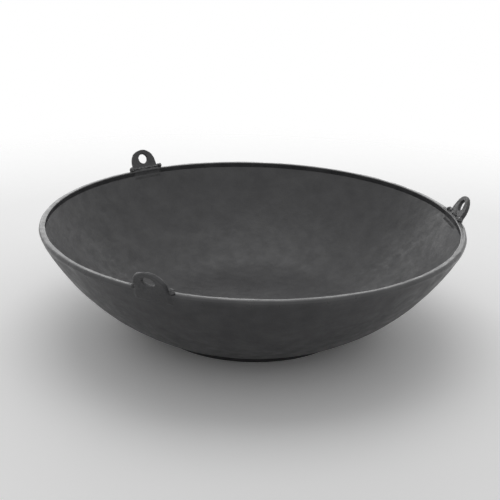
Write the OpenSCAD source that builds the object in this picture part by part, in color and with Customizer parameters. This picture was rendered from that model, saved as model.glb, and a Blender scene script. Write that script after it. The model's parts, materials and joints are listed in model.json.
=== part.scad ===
// Cast iron wok with three pierced lugs on its rim.
// The origin is the centre of the face it stands on, and +X points at the right lug.

/* [Bowl] */
// Outer diameter of the mouth, across the rim
mouth_d = 350; // [290:1:430]
// Height of the rim's top above the ground
bowl_h = 91.5; // [75:0.5:112]
// Thickness of the wall, square to its surface
wall_t = 4; // [3:0.1:5]
// Radius of the arc that the outside of the wall follows
wall_arc_r = 178; // [140:1:260]
// Thickness of the bowl's floor above the base plate
floor_t = 3.4; // [2.5:0.1:6]
// Slope of the inner wall where the floor's curve runs into it
floor_slope = 30; // [26:1:38]

/* [Rim] */
// Width of the rim band
rim_w = 5.2; // [4.6:0.1:8]
// Height of the rim band
rim_h = 4.5; // [4:0.1:8]
// How far the rim's outer face stands out from the top of the wall
rim_proud = 0.7; // [0.3:0.1:1.5]
// Rounding of the rim's inner edge
rim_inner_round = 0.8; // [0.3:0.1:1.2]
// Width of the flat crest of the rim
rim_crest_w = 1.6; // [1:0.1:2.5]
// Drop from the crest to the rim's widest ring
rim_outer_drop = 2.4; // [1.5:0.1:3.5]

/* [Base plate] */
// Diameter of the face that the wok stands on
base_d = 168; // [130:1:210]
// Height of the base plate
base_h = 3.9; // [2:0.1:6]
// How much wider the plate's top is than its foot, at each side
base_draft = 0.8; // [0.2:0.1:2]
// Chamfer of the plate's lower edge
base_chamfer = 0.6; // [0.2:0.1:1.5]

/* [Lugs] */
// Thickness of a lug
lug_t = 3.2; // [2.4:0.1:4]
// Radius of a lug's round head
lug_r = 12.9; // [10:0.1:16]
// Height of the head's centre above the rim, along the lug
lug_head_h = 5.2; // [4:0.1:9]
// Outward lean of the lugs from upright
lug_lean = 27; // [15:1:32]
// Distance from the mouth's edge in to the lug's middle plane, at the rim's top
lug_inset = 0.5; // [0.3:0.1:1.2]
// Diameter of the hole for the chain's hook
hook_hole_d = 9; // [6:0.1:11]
// Height of that hole's centre above the rim, along the lug
hook_hole_h = 9.3; // [8:0.1:12]
// Spread of the lug's root at each side
root_spread = 3.1; // [2:0.1:5]
// Depth of the lug's seat in the rim band
seat_depth = 3; // [2:0.1:3.5]

/* [Root beads] */
// Radius of the lumps in a bead
bead_r = 2; // [1.4:0.1:2.3]
// Number of lumps in a bead
bead_lumps = 9; // [5:1:13]
// Share by which the lumps differ in radius
bead_rough = 0.22; // [0:0.01:0.3]

/* [Hidden] */

iron = "#3b3b3d";
iron_edge = "#4a4a4c";
iron_rough = "#5a5a5b";

lug_pitch = 120;
mouth_r = mouth_d / 2;
base_r = base_d / 2;

// The wall's arc runs from the base plate's top edge to the underside of the rim band
joint_z = bowl_h - rim_h;
wall_low = [base_r + base_draft, base_h];
wall_top = [mouth_r - rim_proud, joint_z];
wall_chord = wall_top - wall_low;
half_chord = norm(wall_chord) / 2;
chord_dir = wall_chord / norm(wall_chord);
arc_c = (wall_low + wall_top) / 2
    + sqrt(pow(wall_arc_r, 2) - pow(half_chord, 2)) * [-chord_dir.y, chord_dir.x];
inner_arc_r = wall_arc_r - wall_t;

// The floor is a curve from the middle of the bowl, level at first, to the wall's inner arc
floor_z = base_h + floor_t;
floor_end = arc_c + inner_arc_r * [sin(floor_slope), -cos(floor_slope)];
floor_knee = [floor_end.x - (floor_end.y - floor_z) / tan(floor_slope), floor_z];
floor_flat = [floor_knee.x / 2, floor_z];

rim_in_r = mouth_r - rim_w;
rim_crest_end = rim_in_r + rim_inner_round + rim_crest_w;
rim_wide_z = bowl_h - rim_outer_drop;

lug_plane_r = mouth_r - lug_inset;
root_half_w = lug_r + root_spread;
seat_z = bowl_h - seat_depth;
bead_pitch = 2 * lug_r / bead_lumps;
bead_turn = 137.5;

steps = 20;
reach = 60;
overlap = 1;
round_fn = 180;

// Slope of the line from the arc's centre to a height on an arc of radius r
function arc_angle(r, z) = asin((z - arc_c.y) / r);

function arc_points(c, r, a0, a1, n) =
    [for (i = [0:n]) c + r * [cos(a0 + (a1 - a0) * i / n), sin(a0 + (a1 - a0) * i / n)]];

function ellipse_points(c, r, a0, a1, n) =
    [for (i = [0:n]) let (a = a0 + (a1 - a0) * i / n) c + [r.x * cos(a), r.y * sin(a)]];

function curve_point(p, t) =
    pow(1 - t, 3) * p[0] + 3 * t * pow(1 - t, 2) * p[1]
    + 3 * t * t * (1 - t) * p[2] + pow(t, 3) * p[3];

// Radius of the wall's inner face at a height
function inner_r(z) = arc_c.x + inner_arc_r * cos(arc_angle(inner_arc_r, z));

module bowl_section() {
    outside = arc_points(arc_c, wall_arc_r, arc_angle(wall_arc_r, base_h),
        arc_angle(wall_arc_r, joint_z), steps);
    inside = arc_points(arc_c, inner_arc_r, arc_angle(inner_arc_r, joint_z),
        floor_slope - 90, steps);
    floor_ctrl = [floor_end, floor_knee, floor_flat, [0, floor_z]];
    floor_curve = [for (i = [1:steps / 2]) curve_point(floor_ctrl, i / (steps / 2))];
    polygon(concat(outside, inside, floor_curve, [[0, base_h]]));
}

module bowl_shell() {
    color(iron) rotate_extrude($fn = round_fn) bowl_section();
}

module rim_section() {
    inner_edge = arc_points([rim_in_r + rim_inner_round, bowl_h - rim_inner_round],
        rim_inner_round, 180, 90, 4);
    outer_edge = ellipse_points([rim_crest_end, rim_wide_z],
        [mouth_r - rim_crest_end, rim_outer_drop], 90, 0, 8);
    polygon(concat([[inner_r(joint_z), joint_z]], inner_edge, outer_edge, [wall_top]));
}

// Stands the children in a lug's own frame: X out through the plate, Y along the rim, Z up the lug
module at_lug(turn) {
    rotate([0, 0, turn])
        translate([lug_plane_r, 0, bowl_h])
            rotate([0, lug_lean, 0]) children();
}

// Everything above the bottom of the seats
module above_seat() {
    translate([-mouth_d, -mouth_d, seat_z]) cube([2 * mouth_d, 2 * mouth_d, reach]);
}

// The space of a lug's tang, open outwards
module seat(turn) {
    intersection() {
        at_lug(turn)
            translate([-lug_t / 2, -root_half_w, -reach / 2])
                cube([reach, 2 * root_half_w, reach]);
        above_seat();
    }
}

module rim_band() {
    color(iron_edge) difference() {
        rotate_extrude($fn = round_fn) rim_section();
        for (k = [0:2]) seat(k * lug_pitch);
    }
}

module base_section() {
    polygon([
        [0, 0], [base_r - base_chamfer, 0], [base_r, base_chamfer],
        wall_low, [0, base_h]
    ]);
}

module base_plate() {
    color(iron) rotate_extrude($fn = round_fn) base_section();
}

// Half of the root's outline: a hollow curve that spreads from the head to the rim
function root_side(s) = [
    for (p = arc_points([root_half_w, root_spread], root_spread, 270, 190, 5)) [s * p.x, p.y]
];

function backwards(v) = [for (i = [len(v) - 1:-1:0]) v[i]];

module lug_outline() {
    translate([0, lug_head_h]) circle(r = lug_r, $fn = 96);
    polygon(concat(
        [[-root_half_w, -reach / 2], [root_half_w, -reach / 2]],
        root_side(1),
        backwards(root_side(-1))
    ));
}

module lug(turn) {
    color(iron_edge) difference() {
        intersection() {
            at_lug(turn)
                translate([-lug_t / 2, 0, 0]) rotate([90, 0, 90])
                    linear_extrude(height = lug_t) lug_outline();
            above_seat();
        }
        at_lug(turn)
            translate([-lug_t / 2 - overlap, 0, hook_hole_h]) rotate([0, 90, 0])
                cylinder(d = hook_hole_d, h = lug_t + 2 * overlap, $fn = 64);
    }
}

// A row of lumps in the corner between the rim's crest and the lug's inner face
module root_bead(turn) {
    color(iron_rough) difference() {
        at_lug(turn)
            for (i = [0:bead_lumps - 1])
                translate([-lug_t / 2, (i - (bead_lumps - 1) / 2) * bead_pitch, 0])
                    sphere(r = bead_r * (1 + bead_rough * sin(i * bead_turn)), $fn = 32);
        at_lug(turn)
            translate([-lug_t / 2, -reach, -reach]) cube(2 * reach);
        translate([-mouth_d, -mouth_d, bowl_h - reach]) cube([2 * mouth_d, 2 * mouth_d, reach]);
    }
}

bowl_shell();
rim_band();
base_plate();
lug(0);  // lug_right
lug(lug_pitch);  // lug_rear_left
lug(2 * lug_pitch);  // lug_front_left
root_bead(0);  // root_bead_right
root_bead(lug_pitch);  // root_bead_rear_left
root_bead(2 * lug_pitch);  // root_bead_front_left
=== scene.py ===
# A cast iron wok: detailed meshes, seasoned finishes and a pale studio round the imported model.
import json
import math

import bpy
import numpy as np
from mathutils import Matrix, Vector


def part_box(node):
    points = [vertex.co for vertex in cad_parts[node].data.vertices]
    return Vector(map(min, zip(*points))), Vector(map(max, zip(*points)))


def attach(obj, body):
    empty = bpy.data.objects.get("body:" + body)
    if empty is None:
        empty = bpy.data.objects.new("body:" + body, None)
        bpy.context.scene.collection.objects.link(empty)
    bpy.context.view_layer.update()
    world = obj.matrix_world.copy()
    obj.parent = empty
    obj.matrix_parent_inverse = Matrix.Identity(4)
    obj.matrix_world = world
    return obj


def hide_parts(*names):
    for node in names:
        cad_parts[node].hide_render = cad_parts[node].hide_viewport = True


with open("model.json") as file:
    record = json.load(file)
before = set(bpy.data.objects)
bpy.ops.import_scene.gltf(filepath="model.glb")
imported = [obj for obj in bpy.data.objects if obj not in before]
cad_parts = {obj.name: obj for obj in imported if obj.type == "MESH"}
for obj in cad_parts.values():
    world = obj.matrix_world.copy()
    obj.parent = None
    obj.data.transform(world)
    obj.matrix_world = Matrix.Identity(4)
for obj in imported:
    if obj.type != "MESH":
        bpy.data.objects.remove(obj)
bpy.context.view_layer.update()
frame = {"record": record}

MM = 0.001

# Sizes that the frame gives
MOUTH_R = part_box("rim_band")[1].y
RIM_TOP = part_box("rim_band")[1].z
JOINT_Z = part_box("bowl_shell")[1].z
BASE_TOP_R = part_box("base_plate")[1].y
BASE_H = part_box("base_plate")[1].z
HOOK_HOLES = {
    mount["name"].replace("hook_hole_", ""): mount
    for mount in frame["record"]["mounts"] if mount["kind"] == "bore"
}

# Section of the bowl
WALL_T = 4 * MM
WALL_ARC_R = 178 * MM
FLOOR_T = 3.4 * MM
FLOOR_SLOPE = math.radians(30)
RIM_W = 5.2 * MM
RIM_PROUD = 0.7 * MM
RIM_INNER_ROUND = 0.9 * MM
RIM_CREST_W = 1.5 * MM
RIM_OUTER_DROP = 2.4 * MM
BASE_DRAFT = 0.8 * MM
BASE_ROUND = 0.9 * MM
SECTORS = 720
ON_AXIS = 0.1 * MM

# Number of steps in each stretch of the section
FLOOR_STEPS = 60
INSIDE_STEPS = 104
RIM_FACE_STEPS = 5
INNER_EDGE_STEPS = 8
OUTER_EDGE_STEPS = 14
SHORT_STEPS = 3
OUTSIDE_STEPS = 96
FOOT_STEPS = 6
UNDER_STEPS = 40

# Lugs, each in its own frame: x out through the plate, y along the rim, z up the lug
LUG_R = 12.9 * MM
LUG_HEAD_H = 5.2 * MM
LUG_HOLE_H = 9.3 * MM
LUG_EDGE_ROUND = 1.1 * MM
LUG_HOLE_BLEND = 1.2 * MM
LUG_DEPTH = 8 * MM
LUG_SWELL = 0.3 * MM
LUG_BEND_TOP = 8 * MM
ROOT_BLEND = 3.2 * MM
SINK = 0.05 * MM
ROUGH_FROM = 2 * MM
UPPER_DEPTH = 30 * MM
CHUNK_R = 24 * MM
CHUNK_LOW = -13 * MM
LUG_NET = (Vector((-8, -26, -15)) * MM, Vector((6, 26, 20)) * MM, 0.3 * MM)

# Rough beads in the corner between a lug's inner face and the rim
BEAD_NET = (Vector((-7, -21, -5)) * MM, Vector((2, 21, 5)) * MM, 0.25 * MM)
BEAD_LUMPS = 13
BEAD_HALF_LENGTH = 14.5 * MM
BEAD_LUMP_R = (1.0 * MM, 1.7 * MM)
BEAD_GLOB_R = 2.2 * MM
BEAD_GLOB_FROM = 0.9
BEAD_SHIFT = 0.4 * MM
BEAD_RISE = (-0.3 * MM, 0.5 * MM)
BEAD_SEED = 40
FAR = 1.0
BEAD_BLEND = 1.4 * MM

# Unevenness of the casting, in layers: size of the lumps, their height, and a seed
CAST_WAVES = [(38 * MM, 0.10 * MM, 11), (13 * MM, 0.035 * MM, 12), (6.5 * MM, 0.018 * MM, 13)]
LUG_WAVES = [(9 * MM, 0.10 * MM, 21), (3.2 * MM, 0.05 * MM, 22), (1.5 * MM, 0.025 * MM, 23)]
BEAD_WAVES = [(2.4 * MM, 0.22 * MM, 31), (1.1 * MM, 0.08 * MM, 32)]
WAVE_COUNT = 36


# Helpers

def waves(points, size, seed):
    """A smooth random height, about one unit high, at each point; its lumps are about size apart."""
    rng = np.random.default_rng(seed)
    heading = rng.normal(size=(WAVE_COUNT, 3))
    heading /= np.linalg.norm(heading, axis=1)[:, None]
    pitch = size * rng.uniform(0.75, 1.5, WAVE_COUNT)
    phase = rng.uniform(0, math.tau, WAVE_COUNT)
    total = np.zeros(len(points))
    for direction, length, start in zip(heading, pitch, phase):
        total += np.cos(points @ direction * (math.tau / length) + start)
    return total * math.sqrt(2 / WAVE_COUNT)


def unevenness(points, layers):
    return sum(height * waves(points, size, seed) for size, height, seed in layers)


def smooth_step(x):
    x = np.clip(x, 0, 1)
    return x * x * (3 - 2 * x)


def smooth_union(a, b, reach):
    near = np.maximum(reach - np.abs(a - b), 0) / reach
    return np.minimum(a, b) - near * near * reach / 4


def smooth_cut(a, b, reach):
    return -smooth_union(-a, -b, reach)


def new_piece(name, points, faces):
    mesh = bpy.data.meshes.new(name)
    mesh.from_pydata(np.asarray(points).tolist(), [], faces)
    mesh.shade_smooth()
    piece = bpy.data.objects.new(name, mesh)
    bpy.context.scene.collection.objects.link(piece)
    return piece


# Section of the bowl, as points of (radius, height)

def arc(centre, radius, start, end, count):
    """Points on an arc or, with two radii, on an ellipse."""
    turn = np.linspace(start, end, count + 1)
    return np.array(centre) + np.column_stack([np.cos(turn), np.sin(turn)]) * np.array(radius)


def between(start, end, count):
    """Points that divide a straight stretch, without its two ends."""
    t = np.linspace(0, 1, count + 2)[1:-1, None]
    return start + (end - start) * t


def cubic(controls, count):
    t = np.linspace(0, 1, count + 1)[:, None]
    weights = [(1 - t) ** 3, 3 * t * (1 - t) ** 2, 3 * t ** 2 * (1 - t), t ** 3]
    return sum(w * np.array(c) for w, c in zip(weights, controls))


def arc_centre(low, high, radius):
    chord = high - low
    half = np.linalg.norm(chord) / 2
    across = np.array([-chord[1], chord[0]]) / np.linalg.norm(chord)
    return (low + high) / 2 + math.sqrt(radius ** 2 - half ** 2) * across


WALL_LOW = np.array([BASE_TOP_R, BASE_H])
WALL_TOP = np.array([MOUTH_R - RIM_PROUD, JOINT_Z])
ARC_C = arc_centre(WALL_LOW, WALL_TOP, WALL_ARC_R)


def wall_arc(radius, low, high, count):
    """The wall's arc of a radius, between two slopes."""
    return arc(ARC_C, radius, low, high, count)


def wall_slope(radius, height):
    return math.asin((height - ARC_C[1]) / radius)


def inside_outline():
    radius = WALL_ARC_R - WALL_T
    floor_z = BASE_H + FLOOR_T
    low = FLOOR_SLOPE - math.pi / 2
    wall = wall_arc(radius, low, wall_slope(radius, JOINT_Z), INSIDE_STEPS)
    knee_r = wall[0][0] - (wall[0][1] - floor_z) / math.tan(FLOOR_SLOPE)
    controls = [(0, floor_z), (knee_r / 2, floor_z), (knee_r, floor_z), wall[0]]
    return np.vstack([cubic(controls, FLOOR_STEPS), wall[1:]])


def rim_outline(start):
    edge_c = (MOUTH_R - RIM_W + RIM_INNER_ROUND, RIM_TOP - RIM_INNER_ROUND)
    inner_edge = arc(edge_c, RIM_INNER_ROUND, math.pi, math.pi / 2, INNER_EDGE_STEPS)
    crest_c = (edge_c[0] + RIM_CREST_W, RIM_TOP - RIM_OUTER_DROP)
    reach = (MOUTH_R - crest_c[0], RIM_OUTER_DROP)
    outer_edge = arc(crest_c, reach, math.pi / 2, 0, OUTER_EDGE_STEPS)
    return np.vstack([
        start, between(start, inner_edge[0], RIM_FACE_STEPS), inner_edge,
        between(inner_edge[-1], outer_edge[0], SHORT_STEPS), outer_edge,
        between(outer_edge[-1], WALL_TOP, SHORT_STEPS), WALL_TOP
    ])


def outside_outline():
    high = wall_slope(WALL_ARC_R, JOINT_Z)
    low = wall_slope(WALL_ARC_R, BASE_H)
    return wall_arc(WALL_ARC_R, high, low, OUTSIDE_STEPS)


def base_outline():
    centre = (BASE_TOP_R - BASE_DRAFT - BASE_ROUND, BASE_ROUND)
    foot = arc(centre, BASE_ROUND, 0, -math.pi / 2, FOOT_STEPS)
    under = between(foot[-1], np.zeros(2), UNDER_STEPS)
    return np.vstack([WALL_LOW, between(WALL_LOW, foot[0], SHORT_STEPS), foot, under, [[0, 0]]])


# Bowl, rim and base: rings of points round the axis

def revolve(outline):
    turn = np.linspace(0, math.tau, SECTORS, endpoint=False)
    rings = np.empty((len(outline), SECTORS, 3))
    rings[:, :, 0] = outline[:, :1] * np.cos(turn)
    rings[:, :, 1] = outline[:, :1] * np.sin(turn)
    rings[:, :, 2] = outline[:, 1:]
    return rings


def cast_rings(outline):
    """The revolved outline with the casting's unevenness, which stops at the frame's own bounds."""
    along = np.gradient(outline, axis=0)
    along /= np.linalg.norm(along, axis=1)[:, None]
    outward = revolve(np.column_stack([-along[:, 1], along[:, 0]])).reshape(-1, 3)
    points = revolve(outline).reshape(-1, 3)
    radius = np.hypot(points[:, 0], points[:, 1])
    height = unevenness(points, CAST_WAVES) * np.clip(points[:, 2] / BASE_H, 0, 1)
    room = np.minimum(MOUTH_R - radius, RIM_TOP - points[:, 2])
    height = np.minimum(height, np.maximum(room, 0))
    return (points + outward * height[:, None]).reshape(-1, SECTORS, 3)


def skin(name, rings, sharp):
    """A closed skin over the rings. It ends in a point where its first and last rings are on the axis."""
    poles = np.hypot(rings[0, 0, 0], rings[0, 0, 1]) < ON_AXIS
    body = rings[1:-1] if poles else rings
    count = len(body)
    points = body.reshape(-1, 3)
    here = np.arange(SECTORS)
    after = (here + 1) % SECTORS
    faces = []
    for row in range(count - 1 if poles else count):
        low, high = row * SECTORS, (row + 1) % count * SECTORS
        faces += np.column_stack([low + here, low + after, high + after, high + here]).tolist()
    if poles:
        first, last = len(points), len(points) + 1
        top = (count - 1) * SECTORS
        points = np.vstack([points, rings[0, 0], rings[-1, 0]])
        faces += [[first, b, a] for a, b in zip(here, after)]
        faces += [[last, top + a, top + b] for a, b in zip(here, after)]
    piece = new_piece(name, points, [[int(v) for v in face] for face in faces])
    sharpen(piece.data, [row - 1 if poles else row for row in sharp])
    return piece


def sharpen(mesh, rows):
    """Keeps the shading of the two sides of some rings apart."""
    ends = np.empty(len(mesh.edges) * 2, int)
    mesh.edges.foreach_get("vertices", ends)
    row = ends.reshape(-1, 2) // SECTORS
    on_ring = (row[:, 0] == row[:, 1]) & np.isin(row[:, 0], rows)
    mesh.attributes.new("sharp_edge", "BOOLEAN", "EDGE").data.foreach_set("value", on_ring)


def bowl_pieces():
    inside = inside_outline()
    rim = rim_outline(inside[-1])
    outside = outside_outline()
    base = base_outline()
    rings = cast_rings(np.vstack([inside, rim[1:], outside[1:], base[1:]]))
    rim_at = len(inside) - 1
    outside_at = rim_at + len(rim) - 1
    base_at = outside_at + len(outside) - 1
    hidden_top = revolve(np.array([[0, BASE_H]]))
    inner, rim_rings = rings[:rim_at + 1], rings[rim_at:outside_at + 1]
    outer, foot_rings = rings[outside_at:base_at + 1], rings[base_at:]
    shell_rings = np.concatenate([inner, outer, hidden_top])
    shell = skin("cast_bowl", shell_rings, [rim_at, rim_at + 1, len(shell_rings) - 2])
    band = skin("cast_rim", rim_rings, [0, len(rim_rings) - 1])
    foot = skin("cast_base", np.concatenate([hidden_top, foot_rings]), [1])
    return shell, band, foot


# Lugs: the surface where a field of distances is zero

def surface_net(field, low, step):
    """Points and quads of the surface between the field's negative inside and its outside."""
    cells = tuple(n - 1 for n in field.shape)
    total = np.zeros(cells + (3,))
    count = np.zeros(cells)
    loops = []
    for axis in range(3):
        start = np.take(field, range(cells[axis]), axis)
        end = np.take(field, range(1, cells[axis] + 1), axis)
        at = np.argwhere((start < 0) != (end < 0))
        f0, f1 = start[tuple(at.T)], end[tuple(at.T)]
        crossing = at.astype(float)
        crossing[:, axis] += f0 / (f0 - f1)
        loop = []
        for side in ((0, 0), (-1, 0), (-1, -1), (0, -1)):
            cell = at.copy()
            cell[:, (axis + 1) % 3] += side[0]
            cell[:, (axis + 2) % 3] += side[1]
            np.add.at(total, tuple(cell.T), crossing)
            np.add.at(count, tuple(cell.T), 1)
            loop.append(np.ravel_multi_index(cell.T, cells))
        loop = np.column_stack(loop)
        loop[f0 > 0] = loop[f0 > 0][:, ::-1]
        loops.append(loop)
    used = count.ravel() > 0
    number = np.cumsum(used) - 1
    points = total.reshape(-1, 3)[used] / count.ravel()[used][:, None]
    return points * step + np.array(low), number[np.vstack(loops)].tolist()


def grid(low, high, step):
    axes = [np.arange(a, b + step / 2, step) for a, b in zip(low, high)]
    return np.meshgrid(*axes, indexing="ij")


def outline_distance(radius, height, outline):
    """Distance to a closed outline of (radius, height) points, negative inside it."""
    nearest = np.full(radius.shape, np.inf)
    inside = np.zeros(radius.shape, bool)
    for (r0, z0), (r1, z1) in zip(outline, np.roll(outline, -1, axis=0)):
        dr, dz = r1 - r0, z1 - z0
        along = ((radius - r0) * dr + (height - z0) * dz) / (dr * dr + dz * dz)
        along = np.clip(along, 0, 1)
        away = (radius - r0 - dr * along) ** 2 + (height - z0 - dz * along) ** 2
        nearest = np.minimum(nearest, away)
        if z0 != z1:
            crossed = (z0 > height) != (z1 > height)
            inside ^= crossed & (radius < r0 + dr * (height - z0) / dz)
    return np.where(inside, -1, 1) * np.sqrt(nearest)


def upper_outline():
    """The section of the rim and of the wall just below it."""
    inside = inside_outline()
    outline = np.vstack([inside, rim_outline(inside[-1])[1:], outside_outline()[1:]])
    return outline[outline[:, 1] > JOINT_Z - UPPER_DEPTH]


def lug_frame(mount):
    """The matrix from a lug's own frame to the object's."""
    out = Vector(mount["axis"]).normalized()
    up = (Vector((0, 0, 1)) - out * out.z).normalized()
    place = Vector(mount["pos_m"]) - up * LUG_HOLE_H
    turn = Matrix((out, up.cross(out), up)).transposed()
    return Matrix.Translation(place) @ turn.to_4x4()


def to_object(points, matrix):
    matrix = np.array(matrix)
    return points @ matrix[:3, :3].T + matrix[:3, 3]


def bowl_field(x, y, z, matrix):
    points = to_object(np.stack([x, y, z], -1), matrix)
    radius = np.hypot(points[..., 0], points[..., 1])
    return outline_distance(radius, points[..., 2], upper_outline())


def plate_field(x, y, z, thickness, hole_r):
    low = 1 - smooth_step(z / LUG_BEND_TOP)
    x = x + low * (y * y / (2 * MOUTH_R) - LUG_SWELL / 2)
    half = thickness / 2 + low * LUG_SWELL / 2
    head = np.hypot(y, z - LUG_HEAD_H) - LUG_R
    root = np.maximum(np.maximum(np.abs(y) - LUG_R, z - LUG_HEAD_H), -LUG_DEPTH - z)
    across = np.minimum(head, root) + LUG_EDGE_ROUND
    through = np.abs(x) - half + LUG_EDGE_ROUND
    corner = np.hypot(np.maximum(across, 0), np.maximum(through, 0))
    plate = corner + np.minimum(np.maximum(across, through), 0) - LUG_EDGE_ROUND
    hole = hole_r - np.hypot(y, z - LUG_HOLE_H)
    return smooth_cut(plate, hole, LUG_HOLE_BLEND)


def lug_surface(mount):
    """A lug in its own frame, with fillets that run out on the rim and the wall."""
    low, high, step = LUG_NET
    x, y, z = grid(low, high, step)
    bowl = bowl_field(x, y, z, lug_frame(mount)) + SINK
    plate = plate_field(x, y, z, mount["dims"]["length_mm"] * MM, mount["dims"]["r_mm"] * MM)
    reach = np.maximum(np.sqrt(x * x + y * y + z * z) - CHUNK_R, CHUNK_LOW - z)
    field = np.maximum(smooth_union(plate, bowl, ROOT_BLEND), reach)
    return surface_net(field, low, step)


def roughen(piece, layers, share=1):
    mesh = piece.data
    count = len(mesh.vertices)
    points, normals = np.empty(count * 3), np.empty(count * 3)
    mesh.vertices.foreach_get("co", points)
    mesh.vertices.foreach_get("normal", normals)
    points, normals = points.reshape(-1, 3), normals.reshape(-1, 3)
    height = unevenness(points, layers) * share
    mesh.vertices.foreach_set("co", (points + normals * height[:, None]).ravel())
    mesh.update()


def clear_of_bowl(points):
    """0 on the bowl's own surface, rising to 1 a little way up the lug."""
    radius = np.hypot(points[:, 0], points[:, 1])
    return smooth_step(outline_distance(radius, points[:, 2], upper_outline()) / ROUGH_FROM)


def lug_piece(name, mount, surface):
    points, faces = surface
    points = to_object(points, lug_frame(mount))
    piece = new_piece("cast_lug_" + name, points, faces)
    share = clear_of_bowl(points)
    roughen(piece, CAST_WAVES)
    roughen(piece, LUG_WAVES, share)
    return piece


def bead_piece(name, mount, seed):
    low, high, step = BEAD_NET
    x, y, z = grid(low, high, step)
    rng = np.random.default_rng(seed)
    field = np.full(x.shape, FAR)
    for place in np.linspace(-1, 1, BEAD_LUMPS):
        radius = rng.uniform(*BEAD_LUMP_R) if abs(place) < BEAD_GLOB_FROM else BEAD_GLOB_R
        along = place * BEAD_HALF_LENGTH + rng.normal() * BEAD_SHIFT
        inward = mount["dims"]["length_mm"] * MM / 2 + along ** 2 / (2 * MOUTH_R)
        rise = rng.uniform(*BEAD_RISE)
        lump = np.sqrt((x + inward) ** 2 + (y - along) ** 2 + (z - rise) ** 2) - radius
        field = smooth_union(field, lump, BEAD_BLEND)
    points, faces = surface_net(field, low, step)
    piece = new_piece("rough_root_" + name, to_object(points, lug_frame(mount)), faces)
    roughen(piece, BEAD_WAVES)
    return piece


# Finishes

# Patterns of the iron: size, detail and, for one, roughness. Sand and pits also have a depth.
TONE = (16 * MM, 5)
MOTTLE = (9 * MM, 6, 0.6)
SAND = (1.3 * MM, 3)
SAND_DEPTH = 0.10 * MM
PITS = (4.5 * MM, 2)
PITS_DEPTH = 0.16 * MM


def node(tree, kind, **values):
    made = tree.nodes.new(kind)
    for key, value in values.items():
        if hasattr(made, key):
            setattr(made, key, value)
        else:
            made.inputs[key].default_value = value
    return made


def noise(tree, where, size, detail, roughness=0.5):
    made = node(tree, "ShaderNodeTexNoise", Scale=1 / size, Detail=detail, Roughness=roughness)
    tree.links.new(where, made.inputs["Vector"])
    return made.outputs["Fac"]


def spread(tree, value, low, high, start=0.35, end=0.65):
    """Maps a value on to low and high, from the middle of a noise's range unless told otherwise."""
    made = node(tree, "ShaderNodeMapRange")
    for name, number in zip(("From Min", "From Max", "To Min", "To Max"), (start, end, low, high)):
        made.inputs[name].default_value = number
    tree.links.new(value, made.inputs["Value"])
    return made.outputs["Result"]


def bump(tree, height, depth, below=None):
    made = node(tree, "ShaderNodeBump", Strength=1.0, Distance=depth)
    tree.links.new(height, made.inputs["Height"])
    if below:
        tree.links.new(below, made.inputs["Normal"])
    return made.outputs["Normal"]


def iron(name, dark, light, gloss, grain=1.0):
    """Seasoned iron: mottled, with a sand-cast grain. gloss gives its lowest and highest roughness."""
    material = bpy.data.materials.new(name)
    material.use_nodes = True
    tree = material.node_tree
    shader = tree.nodes["Principled BSDF"]
    where = node(tree, "ShaderNodeTexCoord").outputs["Object"]

    tone = node(tree, "ShaderNodeMix", data_type="RGBA")
    tree.links.new(spread(tree, noise(tree, where, *TONE), 0, 1), tone.inputs["Factor"])
    tone.inputs["A"].default_value = (*dark, 1)
    tone.inputs["B"].default_value = (*light, 1)
    tree.links.new(tone.outputs["Result"], shader.inputs["Base Color"])

    mottle = noise(tree, where, *MOTTLE)
    tree.links.new(spread(tree, mottle, *gloss), shader.inputs["Roughness"])

    sand = bump(tree, noise(tree, where, *SAND), SAND_DEPTH * grain)
    pits = bump(tree, noise(tree, where, *PITS), PITS_DEPTH * grain, sand)
    tree.links.new(pits, shader.inputs["Normal"])
    shader.inputs["Specular IOR Level"].default_value = 0.5
    return material


def finish(piece, node_name, material):
    piece.data.materials.clear()
    piece.data.materials.append(material)
    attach(piece, "root")
    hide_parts(node_name)


shell_iron = iron("shell_iron", (0.030, 0.030, 0.032), (0.048, 0.048, 0.050), (0.36, 0.52))
# The rim's colour is a little lighter than the shell's, a painted highlight for its bright edge.
rim_iron = iron("rim_iron", (0.035, 0.035, 0.037), (0.055, 0.055, 0.057), (0.26, 0.38), 0.6)
# The base's colour is darker than the shell's, painted shade on the foot under the bowl.
base_iron = iron("base_iron", (0.018, 0.018, 0.019), (0.030, 0.030, 0.031), (0.5, 0.65))
lug_iron = iron("lug_iron", (0.030, 0.030, 0.032), (0.050, 0.050, 0.052), (0.40, 0.55), 1.4)
# The beads' colour is lighter than the lugs', painted glints where the lugs meet the rim.
bead_iron = iron("bead_iron", (0.06, 0.06, 0.062), (0.10, 0.10, 0.102), (0.25, 0.4), 1.6)

shell, band, foot = bowl_pieces()
finish(shell, "bowl_shell", shell_iron)
finish(band, "rim_band", rim_iron)
finish(foot, "base_plate", base_iron)
lug_shape = lug_surface(HOOK_HOLES["right"])
for number, (name, mount) in enumerate(sorted(HOOK_HOLES.items())):
    finish(lug_piece(name, mount, lug_shape), "lug_" + name, lug_iron)
    finish(bead_piece(name, mount, BEAD_SEED + number), "root_bead_" + name, bead_iron)


# Studio

# The floor is a disc that fades out. FLOOR_SEEN is its colour for the camera and in reflections.
FLOOR_R = 0.7
FLOOR_FADE = 0.3
FLOOR_COLOR = 0.8
FLOOR_SEEN = 1.15
FLOOR_SIDES = 96
WORLD_LIGHT = 0.45

CAMERA_TARGET = Vector((-1.9, 0.2, 63.1)) * MM
CAMERA_AROUND = math.radians(-6.887)
CAMERA_ABOVE = math.radians(20.51)
CAMERA_DISTANCE = 869 * MM
CAMERA_ROLL = math.radians(1.515)
CAMERA_LENS = 74.39
CAMERA_SENSOR = 36

TOP_BOX = {"place": (0, 0.4, 1.5), "aim": (0, 0, 0), "width": 1.2, "height": 1.2, "radiance": 0.9}
BACK_BOX = {"place": (0, 1.5, 0.6), "aim": (0, 0, 0.05), "width": 2.2, "height": 0.8, "radiance": 1.5}


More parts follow.
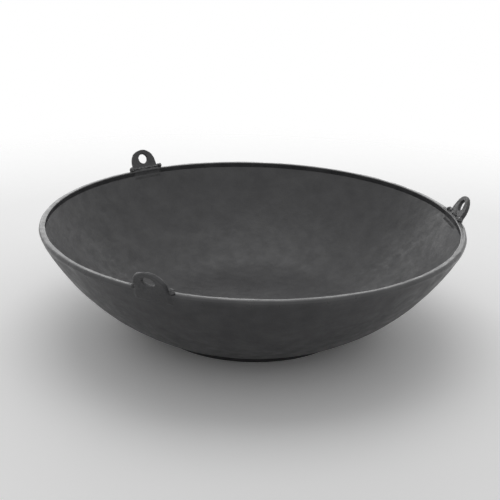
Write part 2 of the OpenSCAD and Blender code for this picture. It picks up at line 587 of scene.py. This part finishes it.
def seen_by_eye(tree):
    """1 for rays of the camera, of reflections and of glass."""
    path = node(tree, "ShaderNodeLightPath")
    both = node(tree, "ShaderNodeMath", operation="MAXIMUM")
    every = node(tree, "ShaderNodeMath", operation="MAXIMUM")
    tree.links.new(path.outputs["Is Camera Ray"], both.inputs[0])
    tree.links.new(path.outputs["Is Glossy Ray"], both.inputs[1])
    tree.links.new(both.outputs[0], every.inputs[0])
    tree.links.new(path.outputs["Is Transmission Ray"], every.inputs[1])
    return every.outputs[0]


def world_light():
    world = bpy.data.worlds.new("studio")
    world.use_nodes = True
    tree = world.node_tree
    background = tree.nodes["Background"]
    background.inputs["Color"].default_value = (1, 1, 1, 1)
    tree.links.new(spread(tree, seen_by_eye(tree), WORLD_LIGHT, 1, 0, 1), background.inputs["Strength"])
    bpy.context.scene.world = world


def floor_material():
    material = bpy.data.materials.new("floor")
    material.use_nodes = True
    tree = material.node_tree
    tree.nodes.remove(tree.nodes["Principled BSDF"])
    white = node(tree, "ShaderNodeBsdfDiffuse")
    level = spread(tree, seen_by_eye(tree), FLOOR_COLOR, FLOOR_SEEN, 0, 1)
    tree.links.new(level, white.inputs["Color"])
    clear = node(tree, "ShaderNodeBsdfTransparent")
    where = node(tree, "ShaderNodeTexCoord").outputs["Object"]
    away = node(tree, "ShaderNodeVectorMath", operation="LENGTH")
    tree.links.new(where, away.inputs[0])
    fade = spread(tree, away.outputs["Value"], 0, 1, FLOOR_R - FLOOR_FADE, FLOOR_R)
    mix = node(tree, "ShaderNodeMixShader")
    tree.links.new(fade, mix.inputs["Fac"])
    tree.links.new(white.outputs[0], mix.inputs[1])
    tree.links.new(clear.outputs[0], mix.inputs[2])
    tree.links.new(mix.outputs[0], tree.nodes["Material Output"].inputs["Surface"])
    return material


def floor():
    turn = np.linspace(0, math.tau, FLOOR_SIDES, endpoint=False)
    edge = np.column_stack([np.cos(turn), np.sin(turn), 0 * turn]) * FLOOR_R
    piece = new_piece("floor", edge, [list(range(len(edge)))])
    piece.data.materials.append(floor_material())


def softbox(name, place, aim, width, height, radiance):
    """A rectangular lamp whose face has a given brightness."""
    lamp = bpy.data.lights.new(name, "AREA")
    lamp.shape = "RECTANGLE"
    lamp.size = width
    lamp.size_y = height
    lamp.energy = radiance * math.pi * width * height
    holder = bpy.data.objects.new(name, lamp)
    holder.location = place
    holder.rotation_euler = (Vector(aim) - Vector(place)).to_track_quat("-Z", "Y").to_euler()
    holder.visible_camera = False
    bpy.context.scene.collection.objects.link(holder)


def camera():
    """The photograph's viewpoint, round and above the target."""
    level = math.cos(CAMERA_ABOVE)
    side = math.sin(CAMERA_AROUND) * level
    front = -math.cos(CAMERA_AROUND) * level
    back = Vector((side, front, math.sin(CAMERA_ABOVE)))
    lens = bpy.data.cameras.new("camera")
    lens.lens = CAMERA_LENS
    lens.sensor_width = CAMERA_SENSOR
    holder = bpy.data.objects.new("camera", lens)
    turn = back.to_track_quat("Z", "Y").to_matrix().to_4x4()
    place = Matrix.Translation(CAMERA_TARGET + back * CAMERA_DISTANCE)
    holder.matrix_world = place @ turn @ Matrix.Rotation(CAMERA_ROLL, 4, "Z")
    bpy.context.scene.collection.objects.link(holder)
    bpy.context.scene.camera = holder


world_light()
floor()
camera()
softbox("top", **TOP_BOX)
softbox("back", **BACK_BOX)
bpy.context.scene.view_settings.view_transform = "Standard"
